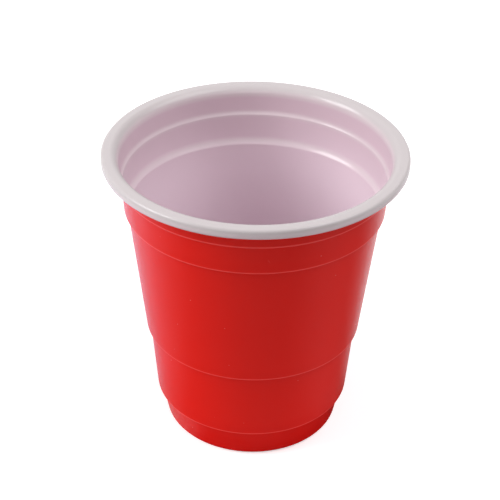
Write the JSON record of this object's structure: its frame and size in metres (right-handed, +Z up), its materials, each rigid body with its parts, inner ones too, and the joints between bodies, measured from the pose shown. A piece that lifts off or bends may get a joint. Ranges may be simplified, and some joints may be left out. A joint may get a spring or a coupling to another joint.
{
  "type": "plastic shot cup",
  "caption": "Small tapered drinking cup formed from one thin plastic sheet, red outside and white inside, with stepped wall, foot ring, recessed floor and rolled white rim",
  "frame": {"origin": "middle of the foot ring, on the plane that the cup stands on", "axes": "+Z up along the cup's axis, out of its mouth; X and Y are alike, because the cup is round"},
  "size_m": [0.0508, 0.0508, 0.0525],
  "materials": {
    "cup_plastic": "gloss red outside, satin white inside and on the rim"
  },
  "bodies": {
    "root": {"cup": "cup_plastic"}
  },
  "joints": []
}
